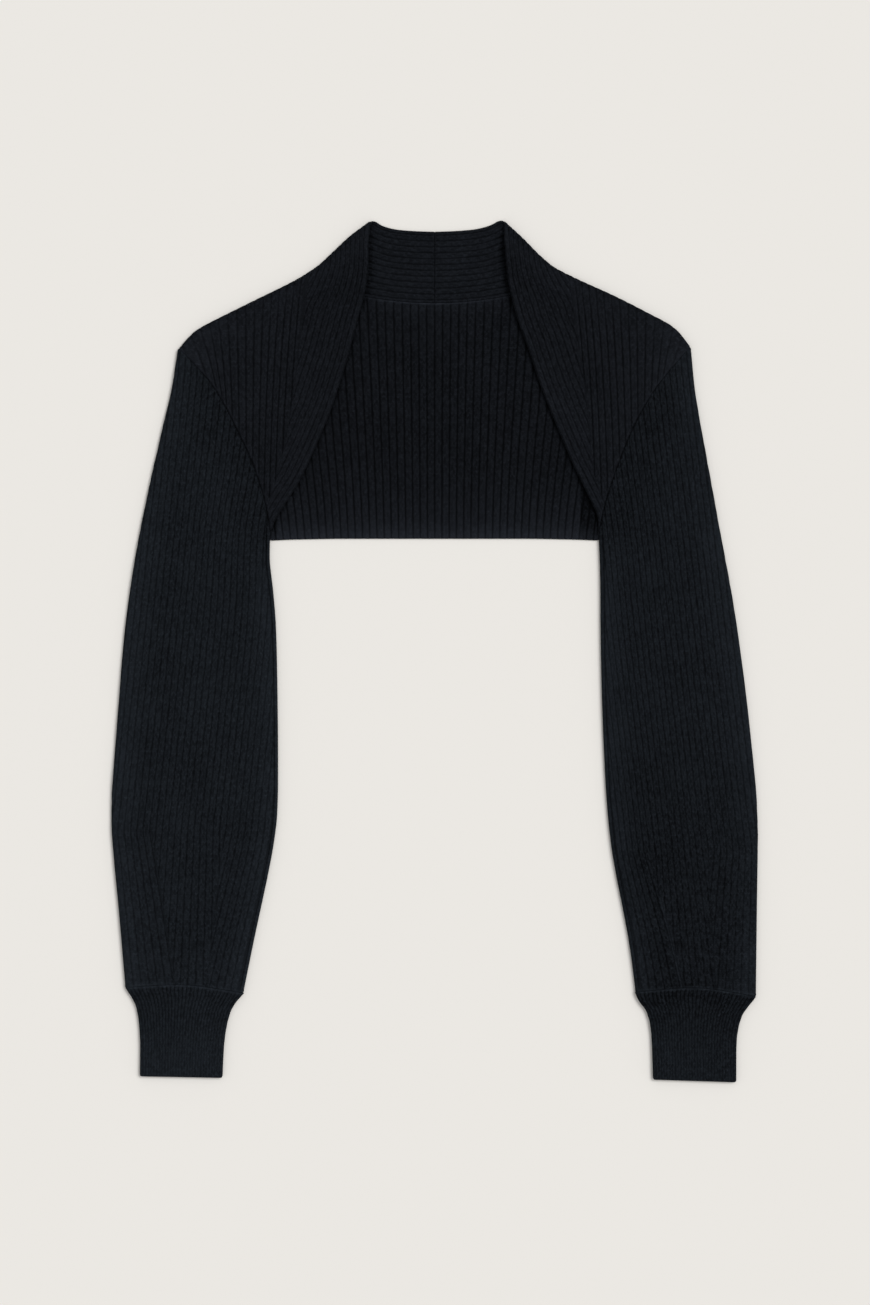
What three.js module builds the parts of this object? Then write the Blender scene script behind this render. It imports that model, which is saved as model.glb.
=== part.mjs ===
// A ribbed bolero cardigan laid flat with its front up. Millimetres; the cloth rests on Z = 0.
// +Y runs from the cuffs to the collar. Seen from above, the left half lies at -X.
// Each piece is a knitted wall. A front is knitted in one with half of the shawl collar: it runs up
// from the underarm, folds over at the shoulder and the side of the neck, and ends behind, linked
// to the back and at the centre back to the other half. Sleeves and cuffs are flattened tubes.
import * as THREE from "three";

const WALL = 2.2; // thickness of the knit
const PLY_GAP = 0.6; // air between the plies of a flattened piece
const SEAM_GAP = 0.3; // between two pieces that are linked together
const HEIGHT = 2 * WALL + PLY_GAP; // two plies
const BEND = (WALL + PLY_GAP) / 2; // radius of a fold, to the middle of the wall
const FOLD_INSET = BEND + WALL / 2; // from a silhouette to where its fold runs into the flat ply
const FOLD_STEPS = 4; // flats that make up a half turn

const NECK_SEAM_Y = 314.5; // collar to back, at the centre back
const COLLAR_TOP_Y = 377.8; // upper edge of the collar, at the centre back
const COLLAR_COLUMNS = 4; // spaces between the front's columns that run on into the collar
const COLLAR_STEPS = 7; // rows of a collar half, from the neck fold to the centre back
const TOP_BOW = 2.6; // how late the collar's upper edge turns up towards the neck fold
const SEAM_BOW = 2; // and how late its linked edge does
const SHOULDER_SEAM = { neck: 4, tip: 13 }; // how far behind the fold the shoulder seam lies
const TIP_REACH = 12; // the armhole's last row is less than this above the shoulder fold
const UNDERARM_REACH = 2; // how far below the underarm a sleeve's column may start
const LINE_REACH = 10; // how far past a cuff's seam or hem a column is looked for
const HALVINGS = 40;
// Where columns end on the armhole seam, as shares of its height. The first few lie in the
// sleeve's inner fold, which has columns of its own.
const RIM_SHARES = [0, 0.05, 0.1, 0.21, 0.33, 0.45, 0.57, 0.69, 0.8, 0.9, 0.97];
const FIRST_FLAT_SHARE = 3;
const SLEEVE_ROWS = 16;
const CUFF_ROWS = 8;
const FLARE_BIAS = 1.6; // crowds a cuff's rows into its flare

// The lower edge of the back, which is straight between its first rows and dips to the side seams.
const HEM = [
  { out: 90, y: 101.8 },
  { out: 130, y: 101 },
  { out: 147, y: 100.2 },
];

// The outlines of each half, as distances out from the centre line.
const LEFT = {
  side: -1,
  frontEdge: [
    { y: 372, out: 60 },
    { y: 344, out: 60 },
    { y: 320, out: 63.5 },
    { y: 300, out: 69.5 },
    { y: 263, out: 79 },
    { y: 218, out: 93.5 },
    { y: 188, out: 106 },
    { y: 155, out: 121 },
    { y: 117.5, out: 145 },
  ],
  fold: [
    { out: 60, y: 387 },
    { out: 80, y: 371 },
    { out: 99, y: 351.5 },
    { out: 121, y: 336.5 },
    { out: 164, y: 315 },
    { out: 207, y: 293.5 },
    { out: 218, y: 286.5 },
    { out: 230, y: 272 },
  ],
  collarEnd: 118,
  armhole: [
    { y: 108, out: 147.9 },
    { y: 125, out: 150.4 },
    { y: 143, out: 154.5 },
    { y: 177, out: 166.5 },
    { y: 202, out: 179 },
    { y: 235, out: 196 },
    { y: 259, out: 215.6 },
    { y: 267, out: 224.5 },
    { y: 276, out: 235 },
  ],
  sleeveOuter: [
    { y: 272, out: 230 },
    { y: 245, out: 234.5 },
    { y: 173, out: 251.4 },
    { y: 101, out: 266.5 },
    { y: 29, out: 277.7 },
    { y: -79, out: 286.7 },
    { y: -151, out: 291.1 },
    { y: -223, out: 285 },
    { y: -302, out: 278.2 },
  ],
  sleeveInner: [
    { y: 108, out: 148 },
    { y: 92, out: 149.5 },
    { y: 65, out: 146.3 },
    { y: 29, out: 143 },
    { y: -43, out: 141.3 },
    { y: -115, out: 140.9 },
    { y: -151, out: 141.8 },
    { y: -187, out: 147.2 },
    { y: -259, out: 162.5 },
    { y: -307, out: 172.2 },
  ],
  cuffSeam: [
    { out: 172.2, y: -307 },
    { out: 223.7, y: -299.7 },
    { out: 278.2, y: -302 },
  ],
  cuffOuter: [
    { y: -302, out: 278.2 },
    { y: -307.4, out: 276 },
    { y: -312.8, out: 271.4 },
    { y: -318.2, out: 269.2 },
    { y: -328.9, out: 267 },
    { y: -350, out: 265.3 },
    { y: -382, out: 265.6 },
  ],
  cuffInner: [
    { y: -307, out: 172.2 },
    { y: -310.1, out: 173.5 },
    { y: -315.4, out: 178.6 },
    { y: -320.9, out: 182.1 },
    { y: -328.9, out: 185.2 },
    { y: -350, out: 189 },
    { y: -383, out: 190.8 },
  ],
  cuffHem: [
    { out: 190.8, y: -383 },
    { out: 265.6, y: -381.6 },
  ],
};

const RIGHT = {
  side: 1,
  frontEdge: [
    { y: 372, out: 63 },
    { y: 337, out: 66 },
    { y: 319.5, out: 69.5 },
    { y: 298, out: 75.5 },
    { y: 277, out: 83.5 },
    { y: 245, out: 94 },
    { y: 214, out: 106 },
    { y: 170, out: 124.5 },
    { y: 121, out: 148.5 },
  ],
  fold: [
    { out: 64.5, y: 387 },
    { out: 86.5, y: 365.5 },
    { out: 97.5, y: 352.6 },
    { out: 108, y: 345.4 },
    { out: 130, y: 334.5 },
    { out: 162, y: 320 },
    { out: 194.5, y: 303.4 },
    { out: 216, y: 291.4 },
    { out: 227, y: 279 },
    { out: 230, y: 273 },
  ],
  collarEnd: 120,
  armhole: [
    { y: 104, out: 147.6 },
    { y: 126, out: 151.3 },
    { y: 151, out: 159 },
    { y: 178, out: 168.5 },
    { y: 204, out: 179.5 },
    { y: 232, out: 195 },
    { y: 253, out: 211 },
    { y: 266, out: 222.5 },
    { y: 277, out: 233 },
  ],
  sleeveOuter: [
    { y: 273, out: 229.8 },
    { y: 245, out: 232.7 },
    { y: 173, out: 245.2 },
    { y: 101, out: 258.5 },
    { y: 29, out: 271.4 },
    { y: -43, out: 281 },
    { y: -115, out: 288.6 },
    { y: -151, out: 291 },
    { y: -223, out: 290.2 },
    { y: -310, out: 289.2 },
  ],
  sleeveInner: [
    { y: 104, out: 147.9 },
    { y: 83, out: 148.8 },
    { y: 65, out: 149.4 },
    { y: 29, out: 149.4 },
    { y: -43, out: 150.8 },
    { y: -115, out: 153.8 },
    { y: -151, out: 156.4 },
    { y: -187, out: 160.9 },
    { y: -259, out: 175 },
    { y: -306, out: 181 },
  ],
  cuffSeam: [
    { out: 181, y: -306 },
    { out: 238, y: -302.4 },
    { out: 289.2, y: -310 },
  ],
  cuffOuter: [
    { y: -310, out: 289.2 },
    { y: -313, out: 288.2 },
    { y: -318.2, out: 283.7 },
    { y: -323.6, out: 279.3 },
    { y: -328.9, out: 276.6 },
    { y: -345, out: 272.7 },
    { y: -387, out: 272 },
  ],
  cuffInner: [
    { y: -306, out: 181 },
    { y: -311, out: 181.4 },
    { y: -315.4, out: 184.4 },
    { y: -320.9, out: 189.2 },
    { y: -328.9, out: 192.7 },
    { y: -345, out: 195.2 },
    { y: -384, out: 196.6 },
  ],
  cuffHem: [
    { out: 196.6, y: -384.6 },
    { out: 272, y: -387 },
  ],
};

const lerp = THREE.MathUtils.lerp;

// The smooth curve through a table's rows, read as one column against another and carried on
// straight past its ends.
function curve(rows, from, to) {
  const last = rows.length - 1;
  const slopes = rows.map((_, i) => {
    const before = rows[Math.max(i - 1, 0)];
    const after = rows[Math.min(i + 1, last)];
    return (after[to] - before[to]) / (after[from] - before[from]);
  });
  const sense = Math.sign(rows[last][from] - rows[0][from]);
  return (x) => {
    if ((x - rows[0][from]) * sense <= 0) return rows[0][to] + slopes[0] * (x - rows[0][from]);
    if ((x - rows[last][from]) * sense >= 0)
      return rows[last][to] + slopes[last] * (x - rows[last][from]);
    let i = 0;
    while ((x - rows[i + 1][from]) * sense > 0) i++;
    const span = rows[i + 1][from] - rows[i][from];
    const t = (x - rows[i][from]) / span;
    const rise = rows[i + 1][to] - rows[i][to];
    const bend = (slopes[i] * span - rise) * (1 - t) - (slopes[i + 1] * span - rise) * t;
    return rows[i][to] + rise * t + t * (1 - t) * bend;
  };
}

function slopeAt(f, x) {
  return f(x + 0.5) - f(x - 0.5);
}

// Where a rising or falling function crosses zero between two numbers, found by halving.
function crossing(f, a, b) {
  const sign = Math.sign(f(a));
  for (let i = 0; i < HALVINGS; i++) {
    const middle = (a + b) / 2;
    if (Math.sign(f(middle)) === sign) a = middle;
    else b = middle;
  }
  return (a + b) / 2;
}

// The angles of a half turn, from straight up on the upper ply to straight down on the lower one.
const TURN = Array.from({ length: FOLD_STEPS + 1 }, (_, i) => Math.PI * (0.5 - i / FOLD_STEPS));
const UP = TURN[0];
const DOWN = -UP;

// A place through the wall, given for each face by its radius about the middle of the two plies.
function station(at) {
  return { outside: at(FOLD_INSET), inside: at(FOLD_INSET - WALL) };
}

// A place on a flat ply, which faces up or down.
function flat(half, { x, y }, angle) {
  return station((radius) => {
    return new THREE.Vector3(half.side * x, y, HEIGHT / 2 + radius * Math.sin(angle));
  });
}

// The stations of a half turn from the upper ply to the lower one, at a place on a silhouette.
// away is the direction straight out of the silhouette there.
function halfTurn(half, place, away) {
  return TURN.map((angle) =>
    station((radius) => {
      const inset = FOLD_INSET - radius * Math.cos(angle);
      const out = half.side * (place.x - away.x * inset);
      const z = HEIGHT / 2 + radius * Math.sin(angle);
      return new THREE.Vector3(out, place.y - away.y * inset, z);
    }),
  );
}

// A closed wall on columns of stations. Neighbouring columns are joined along the rows that both
// have, and round joins the last column to the first.
function wall(columns, { round = false } = {}) {
  const first = [];
  const stations = [];
  for (const column of columns) {
    first.push(stations.length);
    stations.push(...column);
  }
  const faces = [];
  const pairs = round ? columns.length : columns.length - 1;
  for (let i = 0; i < pairs; i++) {
    const j = (i + 1) % columns.length;
    const rows = Math.min(columns[i].length, columns[j].length);
    for (let row = 0; row < rows - 1; row++) {
      const a = first[i] + row;
      const b = first[j] + row;
      faces.push([a, b, b + 1], [a, b + 1, a + 1]);
    }
  }
  const edges = new Set(faces.flatMap(([a, b, c]) => [`${a} ${b}`, `${b} ${c}`, `${c} ${a}`]));
  const inner = stations.length;
  const index = [];
  for (const [a, b, c] of faces) {
    index.push(a, b, c, inner + a, inner + c, inner + b);
    for (const [p, q] of [[a, b], [b, c], [c, a]]) {
      if (!edges.has(`${q} ${p}`)) index.push(q, p, inner + p, q, inner + p, inner + q);
    }
  }
  const points = [...stations.map((s) => s.outside), ...stations.map((s) => s.inside)];
  const geometry = new THREE.BufferGeometry().setFromPoints(points);
  geometry.setIndex(facedOut(points, index));
  geometry.computeVertexNormals();
  return geometry;
}

// The triangles, turned round if they enclose less than nothing.
function facedOut(points, index) {
  let volume = 0;
  for (let i = 0; i < index.length; i += 3) {
    const [a, b, c] = [0, 1, 2].map((k) => points[index[i + k]]);
    volume += a.dot(b.clone().cross(c));
  }
  return volume > 0 ? index : index.reverse();
}

// The seam between body and sleeve at a height, moved off by half of the seam's gap: towards the
// sleeve or towards the body.
function armholeRim(half, towards) {
  const out = curve(half.armhole, "y", "out");
  return (y) => {
    const across = new THREE.Vector2(1, -slopeAt(out, y)).normalize();
    return new THREE.Vector2(out(y), y).addScaledVector(across, (towards * SEAM_GAP) / 2);
  };
}

// The height where the armhole seam crosses the shoulder fold.
function shoulderTip(half) {
  const rim = armholeRim(half, -1);
  const fold = curve(half.fold, "out", "y");
  const top = half.armhole[half.armhole.length - 1].y;
  return crossing((y) => rim(y).y - fold(rim(y).x), top - TIP_REACH, top);
}

// The places on the armhole seam where columns end, from the underarm to the shoulder.
function rimPlaces(half, towards) {
  const rim = armholeRim(half, towards);
  const underarm = half.armhole[0].y;
  const tip = shoulderTip(half);
  return RIM_SHARES.map((share) => rim(lerp(underarm, tip, share)));
}

// The places where the columns of a front cross the shoulder and neck fold, and those right
// behind them on the seam with the back.
function foldPlaces(half) {
  const height = curve(half.fold, "out", "y");
  const last = half.frontEdge.length + RIM_SHARES.length - 1;
  const rim = armholeRim(half, -1);
  const tip = rim(shoulderTip(half));
  return Array.from({ length: last + 1 }, (_, i) => {
    const onShoulder = Math.max((i - COLLAR_COLUMNS) / (last - COLLAR_COLUMNS), 0);
    const onCollar = Math.min(i / COLLAR_COLUMNS, 1);
    const out =
      lerp(half.fold[0].out, half.collarEnd, onCollar) +
      lerp(0, tip.x - half.collarEnd, onShoulder);
    const place = new THREE.Vector2(out, height(out));
    const away = new THREE.Vector2(-slopeAt(height, out), 1).normalize();
    if (i === last) away.copy(tip).sub(rim(tip.y - 1)).normalize();
    const behind = lerp(SHOULDER_SEAM.neck, SHOULDER_SEAM.tip, onShoulder);
    return { place, away, seam: place.clone().addScaledVector(away, -behind) };
  });
}

// How a column of the collar runs behind, from the neck fold to the centre back.
function collarPath(from, onCollar) {
  const end = lerp(COLLAR_TOP_Y, NECK_SEAM_Y, onCollar);
  const bow = lerp(TOP_BOW, SEAM_BOW, onCollar);
  return Array.from({ length: COLLAR_STEPS + 1 }, (_, i) => {
    const out = lerp(from.x, SEAM_GAP / 2, i / COLLAR_STEPS);
    return new THREE.Vector2(out, end + (from.y - end) * (out / from.x) ** bow);
  });
}

// A front's columns: each starts at the free edge or the armhole, crosses the fold, and ends at
// the centre back or at the shoulder seam.
function frontColumns(half) {
  const rim = rimPlaces(half, -1);
  const starts = [...half.frontEdge.map(({ y, out }) => new THREE.Vector2(out, y)), ...rim];
  return foldPlaces(half).map(({ place, away, seam }, i, all) => {
    const behind = [place.clone().addScaledVector(away, -FOLD_INSET).lerp(seam, 0.5), seam];
    if (i <= COLLAR_COLUMNS) behind.splice(1, 1, ...collarPath(seam, i / COLLAR_COLUMNS));
    if (i === all.length - 1) behind.splice(0, 2, ...rim.slice(-2).reverse());
    return [
      flat(half, starts[i], UP),
      ...halfTurn(half, place, away),
      ...behind.map((p) => flat(half, p, DOWN)),
    ];
  });
}

// Half of the back's outline, from the hem to the centre back neck.
function backEdge(half) {
  const places = foldPlaces(half);
  const shoulder = places
    .slice(COLLAR_COLUMNS + 1, -1)
    .map(({ seam, away }) => seam.clone().addScaledVector(away, -SEAM_GAP))
    .reverse();
  const below = new THREE.Vector2(0, -SEAM_GAP);
  const neck = collarPath(places[COLLAR_COLUMNS].seam, 1).map((p) => p.clone().add(below));
  const hem = HEM.map(({ out, y }) => new THREE.Vector2(out, y));
  const rim = rimPlaces(half, -1).slice(0, -1);
  const corner = rim[rim.length - 1];
  corner.addScaledVector(rim[rim.length - 2].clone().sub(corner).normalize(), SEAM_GAP);
  const edge = [...hem, ...rim, ...shoulder, ...neck];
  return edge.map((p) => new THREE.Vector2(half.side * p.x, p.y));
}

function back() {
  const outline = [...backEdge(RIGHT), ...backEdge(LEFT).reverse()];
  return new THREE.ExtrudeGeometry(new THREE.Shape(outline), { depth: WALL, bevelEnabled: false });
}

// The columns round a flattened tube, from the outer fold over the top to the inner fold and back
// underneath. One on a flat ply runs at a share of the width, and one in a fold runs by its edge.
function tubeSections(half) {
  const outer = curve(half.sleeveOuter, "y", "out");
  const inner = half.sleeveInner[0].out;
  const shares = rimPlaces(half, 1)
    .slice(FIRST_FLAT_SHARE)
    .map((p) => (outer(p.y) - p.x) / (outer(p.y) - inner))
    .reverse();
  return [
    ...shares.map((share) => ({ share, angle: UP })),
    ...TURN.map((angle) => ({ edge: "inner", angle })),
    ...shares.toReversed().map((share) => ({ share, angle: DOWN })),
    ...TURN.toReversed().map((angle) => ({ edge: "outer", angle })),
  ];
}

// A flattened tube. outer and inner give its edges at a height, and top and bottom the heights
// where a column starts and ends, given how far out it runs at each height.
function tube(half, { outer, inner, top, bottom, rows, bias = 1 }) {
  const columns = tubeSections(half).map(({ edge, share, angle }) => {
    const faceLine = (radius) => {
      const inset = FOLD_INSET - radius * Math.cos(angle);
      if (edge === "outer") return (y) => outer(y) - inset;
      if (edge === "inner") return (y) => inner(y) + inset;
      return (y) => lerp(outer(y), inner(y), share);
    };
    return Array.from({ length: rows + 1 }, (_, row) =>
      station((radius) => {
        const out = faceLine(radius);
        const y = lerp(top(out), bottom(out), (row / rows) ** bias);
        return new THREE.Vector3(half.side * out(y), y, HEIGHT / 2 + radius * Math.sin(angle));
      }),
    );
  });
  return wall(columns, { round: true });
}

// Where a column meets a line that crosses the tube, moved off by half of the seam's gap.
function meets(line, shift) {
  const heights = line.map(({ y }) => y);
  const lowest = Math.min(...heights) - LINE_REACH;
  const highest = Math.max(...heights) + LINE_REACH;
  const height = curve(line, "out", "y");
  return (out) => crossing((y) => y - shift - height(out(y)), lowest, highest);
}

function sleeve(half) {
  const innerLine = curve(half.sleeveInner, "y", "out");
  const { y: underarm, out: innerTop } = half.sleeveInner[0];
  const armhole = curve(half.armhole, "y", "out");
  const seam = (y) => armhole(y) + (SEAM_GAP / 2) * Math.hypot(1, slopeAt(armhole, y));
  const highest = half.armhole[half.armhole.length - 1].y;
  return tube(half, {
    outer: curve(half.sleeveOuter, "y", "out"),
    inner: (y) => (y > underarm ? innerTop : innerLine(y)),
    top: (out) => crossing((y) => out(y) - seam(y), underarm - UNDERARM_REACH, highest),
    bottom: meets(half.cuffSeam, SEAM_GAP / 2),
    rows: SLEEVE_ROWS,
  });
}

function cuff(half) {
  return tube(half, {
    outer: curve(half.cuffOuter, "y", "out"),
    inner: curve(half.cuffInner, "y", "out"),
    top: meets(half.cuffSeam, -SEAM_GAP / 2),
    bottom: meets(half.cuffHem, 0),
    rows: CUFF_ROWS,
    bias: FLARE_BIAS,
  });
}

const WIDE_RIB = { color: 0x15181c, roughness: 0.95, metalness: 0 };
const FINE_RIB = { color: 0x171a1f, roughness: 0.92, metalness: 0 };

const cardigan = new THREE.Group();

function add(name, geometry, finish) {
  const mesh = new THREE.Mesh(geometry, new THREE.MeshStandardMaterial(finish));
  mesh.name = name;
  cardigan.add(mesh);
}

add("back", back(), WIDE_RIB);
for (const [name, half] of [["left", LEFT], ["right", RIGHT]]) {
  add(`front_${name}`, wall(frontColumns(half)), WIDE_RIB);
  add(`sleeve_${name}`, sleeve(half), WIDE_RIB);
  add(`cuff_${name}`, cuff(half), FINE_RIB);
}

export default cardigan;
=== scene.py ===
"""A cropped open-front knitted bolero, laid flat with its arms at its sides, face up on a pale floor.

Lengths are in millimetres until a mesh is made. "Out" is the distance from the centre line towards one
side, so both halves share every formula, and y runs up towards the neck. A piece of knitting is chains
of stitches along its ribs, joined side by side into one thin shell.
"""

import math

import bpy
import numpy as np
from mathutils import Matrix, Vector
from mathutils.kdtree import KDTree


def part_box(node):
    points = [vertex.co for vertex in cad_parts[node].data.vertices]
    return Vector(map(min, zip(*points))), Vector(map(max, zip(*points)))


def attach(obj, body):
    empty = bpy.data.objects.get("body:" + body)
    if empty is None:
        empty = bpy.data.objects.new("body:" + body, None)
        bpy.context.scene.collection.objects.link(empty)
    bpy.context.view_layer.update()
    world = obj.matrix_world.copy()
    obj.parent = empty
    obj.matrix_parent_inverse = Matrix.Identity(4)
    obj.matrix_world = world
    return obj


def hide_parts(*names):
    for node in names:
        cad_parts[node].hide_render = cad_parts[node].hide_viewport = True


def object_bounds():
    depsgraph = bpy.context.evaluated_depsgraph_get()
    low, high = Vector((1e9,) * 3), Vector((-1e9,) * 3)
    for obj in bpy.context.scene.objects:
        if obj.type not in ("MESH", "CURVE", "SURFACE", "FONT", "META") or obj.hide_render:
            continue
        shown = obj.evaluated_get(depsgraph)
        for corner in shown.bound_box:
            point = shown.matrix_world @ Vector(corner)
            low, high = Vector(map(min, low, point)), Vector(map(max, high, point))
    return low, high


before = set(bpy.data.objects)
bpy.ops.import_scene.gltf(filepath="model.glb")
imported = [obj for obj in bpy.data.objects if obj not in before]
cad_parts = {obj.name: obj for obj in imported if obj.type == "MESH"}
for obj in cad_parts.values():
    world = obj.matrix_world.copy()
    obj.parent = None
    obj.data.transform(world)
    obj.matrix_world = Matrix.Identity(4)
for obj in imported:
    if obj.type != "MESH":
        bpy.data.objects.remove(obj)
cad_box = [list(corner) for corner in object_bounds()]

MM = 0.001
X, Y, Z = 0, 1, 2

# The cloth and how it folds.
HEIGHT = (cad_box[1][Z] - cad_box[0][Z]) / MM
PLY = 2.2
MID = HEIGHT / 2
BEND = (HEIGHT - PLY) / 2
FOLD_INSET = BEND + PLY / 2  # from a silhouette to where the fold runs into the flat ply
SLEEVE_SPRING = 0.5  # how far its outer fold springs out past a flat one
QUARTER = math.pi * BEND / 2  # cloth from the side of a fold to the flat
SEAM_GAP = 0.3
NEAR_LINE = 0.3  # how close to a fashioning line ribs end
OFF_FLOOR = 0.02  # nothing lies lower
HEM_RISE = 0.8  # how far the back's hem is drawn up inside its solid

# Ribs: their width from groove to groove, and how many there are.
BACK_PITCH, WIDEST_RIB = 6.5, 8.2
SHOULDER_RIBS, COLLAR_RIBS, CUFF_RIBS = 30, 12, 30

# Where chains of stitches lie across a rib, and how far apart stitches are along it.
WIDE_COLUMNS = (0.0, 0.05, 0.13, 0.28, 0.5, 0.72, 0.87, 0.95)
FINE_COLUMNS = (0.0, 0.2, 0.5, 0.8)
TIP_COLUMNS = np.linspace(-0.09, 0.06, 6)  # extra chains where the armhole rounds the shoulder's fold
ROW, SLEEVE_ROW, CUFF_ROW = 3.0, 4.0, 2.5
SHORT_ROW = 0.8  # in a chain too short for the grid, and where the collar meets the fold
CLOSE = (0.5, 1.1, 1.8, 2.6, 3.6)  # extra stitches by a chain's ends, where seams stand up
GRID_CLEAR = 0.3  # share of a row between them and the grid
TURN_STEPS = 7  # stitches round the shoulder's fold
KEY_RUN = 20.0  # how far before the fold neighbouring chains start to line up with it
LINE_STEP = 2.0  # along a seam

# A rib's section: how flat its top is, how steeply its sides fall, and how deep its grooves are.
CREST_FLATNESS, CREST_ROUNDNESS = 2.6, 0.6
OTHER_FACE = 0.5  # a rib on one face backs a groove of the other
DEPTHS = {"back": 1.0, "front": 0.85, "sleeve": 0.46, "cuff": 0.5}

# How far a seam's two lips stand up, over what width, and how much painted highlight they get.
FLAT_LIP, LIP, CUFF_RIDGE, NECK_RIDGE, CENTRE_LIP = 0.1, 0.25, 0.4, 0.8, 0.05
LIP_TOP, LIP_SIDE, LIP_LIGHT = 0.7, 1.1, 2.0
LIP_UNEVEN, LIP_WAVE = 0.35, 7  # their thick and thin places: how uneven, and how far apart
WAVES, WAVES_HIGH, WAVE_GROWTH = 4, 2.6, 0.35  # waves that add up to them, each longer than the last
FIRST_WAY, NEXT_WAY = 8.5, 2.4
FIRST_SHIFT, NEXT_SHIFT = 5, 1.3
NEAR_SEAM = 2.2  # ribs are flat in a seam and full this far from it
TINY = 1e-9
RIM_ROUND, RIM_RUN = 0.25, 1.1  # share of the ply taken off each face at a rim, and over what width
RIM_BULGE = 0.5  # how far a free rim rounds out past its stitches

# The back's ribs fan out, the more the farther out they stand.
BACK_FAN, SIDE_FAN, SIDE_FAN_SPAN, SIDE_FAN_POWER = 0.0006, 0.075, 100, 2.3
FAN_START, FAN_SPAN = 0.65, 45.0

# The collar's ribs rise towards its ends, from a share of the way out.
COLLAR_RISE, RISE_FROM, RISE_RUN, RISE_MOST, RISE_POWER = 0.068, 0.5, 0.41, 1.1, 2.2
COLLAR_SPRING = 0.5  # how far its free edge stands past its solid
NECK_TURN = 0.88  # share of the way out where it starts to bend into the shoulder's fold

# How far the free edge of a front stands up, low down and beside the neck, and how far in that runs.
EDGE_LIFT, NECK_LIFT, LIFT_RUN, NECK_LIFT_RUN = 1.4, 2.6, 20, 16
TIP_RUN = 30  # above the front's lower tip, over which the edge starts to lift

# Shoulder ribs straighten out as they run down. Sleeve ribs turn to meet on their lines.
LEAN_SPAN, LEAN_TOP = 130.0, 5
TURN_SPAN = 20.0
SEAM_STRIP = 3.2  # cloth from the inner fold's middle to the sleeve's seam
GATHER_SPAN = 50  # how far from the underarm the sleeve is drawn in
MORE_THAN_ALL = 1.2  # ribs are tried this far past the sleeve's width

# Creases, as how far the cloth rises, over what width, and how much lighter it is painted; the creases here
# sink and get painted shade.
ARMHOLE_CREASE = (-0.35, 1.1)
SLEEVE_SEAM_CREASE = (-0.5, 0.8, -0.45)
PUCKER_CREASE = (-0.4, 0.9, -0.3)
PUCKER_END, PUCKER_SPOTS, PUCKER_LEAN = 16, 9, 0.25

# How tones (mostly painted light and shade), reliefs and the like change with the place: by how much, and from
# where to where.
TONES = {
    "towards hem": (0.5, 56, 0),
    "below neck": (0.3, 16, 2),
    "above hem": (0.22, 20, 80),
    "back top": (0.1, 270, 310),
    "strip side": (1.1, -0.8, 0.8),
    "strip top": (1, 162, 150),
    "back ribs": (0.3, 60, 20),
    "edge": (0.14, 220, 300),
    "collar fold": (0.2, -4, 0),
    "high on front": (0.2, 220, 290),
    "off fold": (1, -6, -22),
    "collar ribs": (0.2, -40, 0),
    "tip outwards": (0.4, 175, 222),
    "tip upwards": (1, 195, 250),
    "shoulder fold": (0.2, -3, 0),
    "by join": (0.12, 30, 0),
    "shoulder ribs": (0.65, -4, -32),
    "off armhole": (1, 56, 0),
    "up armhole": (1, 80, 125),
    "armhole fade": (1, 190, 250),
    "outer fold": (1, 34, 0),
    "inner fold": (1, 30, 0),
    "down inner fold": (1, 120, 40),
    "faded down": (1, -60, -200),
    "worn down": (1, -90, -180),
    "cuff end": (1, -320, -365),
    "beside neck": (1, 285, 330),
    "before fold": (1, 0, -16),
    "edge leans": (1, 350, 300),
    "full pitch": (1, 354, 312),
    "drawn in": (1, 30, 105),
    "hollow by neck": (4.2, 300, 330),
    "springy fold": (0.9, -2, 26),
    "springy tip": (1, 235, 280),
}
HEM_PAINTED_LIGHT, HEM_PAINTED_LIGHT_RUN = 1.5, 22  # how much painted light the back gets by its hem, and how far up
BACK_RELIEF, EDGE_RELIEF, COLLAR_RELIEF, SHOULDER_RELIEF = 0.75, 0.6, 0.95, 0.35
RIDGE_ENDS, RIDGE_MIDDLE, RIDGE_SPAN, RIDGE_PAST_NECK = 0.5, 0.6, 32, 6  # the neck's ridge, in shares
HOLLOW_WIDTH, HOLLOW_CORE = 2.6, 0.3  # of the painted shade in the hollow beside a front's free edge
EDGE_LIGHT, EDGE_RIB = 0.04, 0.9  # painted light on the free edge's first rib
CENTRE_DARK, CENTRE_DARK_RUN = 0.3, 2.4  # the collar's seam on the centre line
FOLD_LIGHT = 0.5  # how much painted light a sleeve's folds get
FOLD_DIP, FOLD_DIP_AT, FOLD_DIP_SPAN = 0.4, 180, 60  # the outer fold's painted light is weaker high on the sleeve
# Painted shade on the sleeve by the armhole, and its ribs deeper there.
ARMHOLE_DARK, ARMHOLE_RELIEF = 0.27, 0.15
CUFF_END_LIGHT, CUFF_RELIEF, CUFF_END_RELIEF = 0.14, 0.85, 0.5
CUFF_SEAM_DARK, CUFF_SEAM_AT, CUFF_SEAM_RUN = 0.2, 6, 8

# Heights where searches along a rib start or end, and their steps.
BELOW_HEM, ON_CHEST, JOIN_TOP, ABOVE_BACK, ABOVE_NECK, OVER_FOLD = 90.0, 300.0, 345.0, 360.0, 400.0, 420.0
BELOW_CUFF, MID_CUFF, BELOW_SLEEVE, SEAM_FOOT, ABOVE_CUFF = -400.0, -340.0, -330.0, -300.0, -280.0
ELBOW, ABOVE_SLEEVE = 60.0, 300.0
BEFORE_FOLD, AT_FOLD, PAST_FOLD, BEHIND_FOLD = 20, 10, 25, 45
JUST_INSIDE, ON_HEM, SIDE_STEP = 1.5, 0.5, 1.0
SHORTEST = 2  # a shorter chain is left out, or not folded row by row
FREE = 200  # what a limit gains where it doesn't count
KEY_END = 1000  # keys behind the neck count down from here, past every height

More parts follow.
